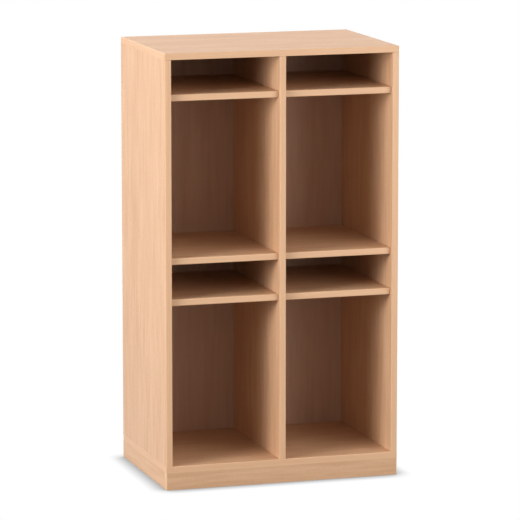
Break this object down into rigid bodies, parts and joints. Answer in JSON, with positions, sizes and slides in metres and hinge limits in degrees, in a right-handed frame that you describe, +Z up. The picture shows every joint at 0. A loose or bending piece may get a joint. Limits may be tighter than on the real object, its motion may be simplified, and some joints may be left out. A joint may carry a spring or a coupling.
{
  "type": "school bag rack",
  "caption": "Upright open-fronted beech-finish rack on a plinth, with tall bays for school bags and low bays for books on either side of a centre divider; shelves lift out.",
  "frame": {"origin": "on the floor, under the middle of the rack's footprint", "axes": "+Z up; the open front faces -Y; +X to the right for someone facing the front"},
  "size_m": [0.7, 0.47, 1.26],
  "materials": {
    "beech_board": "satin melamine facing with a beech print on chipboard",
    "edging": "satin plastic edging in beech colour, rounded",
    "beech_wood": "raw planed beech",
    "zinc_steel": "bright zinc plating",
    "foot_plastic": "matt black moulded plastic"
  },
  "bodies": {
    "case": {"back_panel": "beech_board", "back_panel_screws": "zinc_steel", "bottom_end_edging": "edging", "bottom_front_edging": "edging", "bottom_panel": "beech_board", "case_dowels_lower": "beech_wood", "case_dowels_upper": "beech_wood", "centre_divider": "beech_board", "corner_block_back_left": "beech_wood", "corner_block_back_right": "beech_wood", "corner_block_front_left": "beech_wood", "corner_block_front_right": "beech_wood", "divider_edging": "edging", "plinth_back": "beech_board", "plinth_dowels_crosswise": "beech_wood", "plinth_dowels_lengthwise": "beech_wood", "plinth_dowels_upright": "beech_wood", "plinth_end_edging": "edging", "plinth_front": "beech_board", "plinth_left": "beech_board", "plinth_rail": "beech_board", "plinth_right": "beech_board", "shelf_supports_divider_left": "zinc_steel", "shelf_supports_divider_right": "zinc_steel", "shelf_supports_left": "zinc_steel", "shelf_supports_right": "zinc_steel", "side_left_edging": "edging", "side_panel_left": "beech_board", "side_panel_right": "beech_board", "side_right_edging": "edging", "threaded_insert_back_left": "zinc_steel", "threaded_insert_back_right": "zinc_steel", "threaded_insert_front_left": "zinc_steel", "threaded_insert_front_right": "zinc_steel", "top_end_edging": "edging", "top_front_edging": "edging", "top_panel": "beech_board"},
    "book_shelf_upper_left": {"book_shelf_upper_left": "beech_board", "book_shelf_upper_left_edging": "edging"},
    "book_shelf_upper_right": {"book_shelf_upper_right": "beech_board", "book_shelf_upper_right_edging": "edging"},
    "bag_shelf_left": {"bag_shelf_left": "beech_board", "bag_shelf_left_edging": "edging"},
    "bag_shelf_right": {"bag_shelf_right": "beech_board", "bag_shelf_right_edging": "edging"},
    "book_shelf_lower_left": {"book_shelf_lower_left": "beech_board", "book_shelf_lower_left_edging": "edging"},
    "book_shelf_lower_right": {"book_shelf_lower_right": "beech_board", "book_shelf_lower_right_edging": "edging"},
    "foot_front_left": {"foot_pad_front_left": "foot_plastic"},
    "stud_front_left": {"foot_stud_front_left": "zinc_steel"},
    "foot_front_right": {"foot_pad_front_right": "foot_plastic"},
    "stud_front_right": {"foot_stud_front_right": "zinc_steel"},
    "foot_back_left": {"foot_pad_back_left": "foot_plastic"},
    "stud_back_left": {"foot_stud_back_left": "zinc_steel"},
    "foot_back_right": {"foot_pad_back_right": "foot_plastic"},
    "stud_back_right": {"foot_stud_back_right": "zinc_steel"}
  },
  "joints": [
    {"name": "book_shelf_upper_left_draw", "type": "slide", "parent": "case", "child": "book_shelf_upper_left", "axis": [0, -1, 0], "range_m": [0, 0.46]},
    {"name": "book_shelf_upper_right_draw", "type": "slide", "parent": "case", "child": "book_shelf_upper_right", "axis": [0, -1, 0], "range_m": [0, 0.46]},
    {"name": "bag_shelf_left_draw", "type": "slide", "parent": "case", "child": "bag_shelf_left", "axis": [0, -1, 0], "range_m": [0, 0.46]},
    {"name": "bag_shelf_right_draw", "type": "slide", "parent": "case", "child": "bag_shelf_right", "axis": [0, -1, 0], "range_m": [0, 0.46]},
    {"name": "book_shelf_lower_left_draw", "type": "slide", "parent": "case", "child": "book_shelf_lower_left", "axis": [0, -1, 0], "range_m": [0, 0.46]},
    {"name": "book_shelf_lower_right_draw", "type": "slide", "parent": "case", "child": "book_shelf_lower_right", "axis": [0, -1, 0], "range_m": [0, 0.46]},
    {"name": "foot_front_left_travel", "type": "slide", "parent": "case", "child": "foot_front_left", "axis": [0, 0, -1], "range_m": [0, 0.01]},
    {"name": "stud_front_left_turn", "type": "hinge", "parent": "foot_front_left", "child": "stud_front_left", "pos_m": [-0.3085, -0.1935, 0.02], "axis": [0, 0, -1], "range_deg": [0, 2880]},
    {"name": "foot_front_right_travel", "type": "slide", "parent": "case", "child": "foot_front_right", "axis": [0, 0, -1], "range_m": [0, 0.01]},
    {"name": "stud_front_right_turn", "type": "hinge", "parent": "foot_front_right", "child": "stud_front_right", "pos_m": [0.3085, -0.1935, 0.02], "axis": [0, 0, -1], "range_deg": [0, 2880]},
    {"name": "foot_back_left_travel", "type": "slide", "parent": "case", "child": "foot_back_left", "axis": [0, 0, -1], "range_m": [0, 0.01]},
    {"name": "stud_back_left_turn", "type": "hinge", "parent": "foot_back_left", "child": "stud_back_left", "pos_m": [-0.3085, 0.1335, 0.02], "axis": [0, 0, -1], "range_deg": [0, 2880]},
    {"name": "foot_back_right_travel", "type": "slide", "parent": "case", "child": "foot_back_right", "axis": [0, 0, -1], "range_m": [0, 0.01]},
    {"name": "stud_back_right_turn", "type": "hinge", "parent": "foot_back_right", "child": "stud_back_right", "pos_m": [0.3085, 0.1335, 0.02], "axis": [0, 0, -1], "range_deg": [0, 2880]}
  ],
  "couplings": [
    {"joint": "stud_front_left_turn", "follows": "foot_front_left_travel", "rad_per_m": 5026.5},
    {"joint": "stud_front_right_turn", "follows": "foot_front_right_travel", "rad_per_m": 5026.5},
    {"joint": "stud_back_left_turn", "follows": "foot_back_left_travel", "rad_per_m": 5026.5},
    {"joint": "stud_back_right_turn", "follows": "foot_back_right_travel", "rad_per_m": 5026.5}
  ]
}
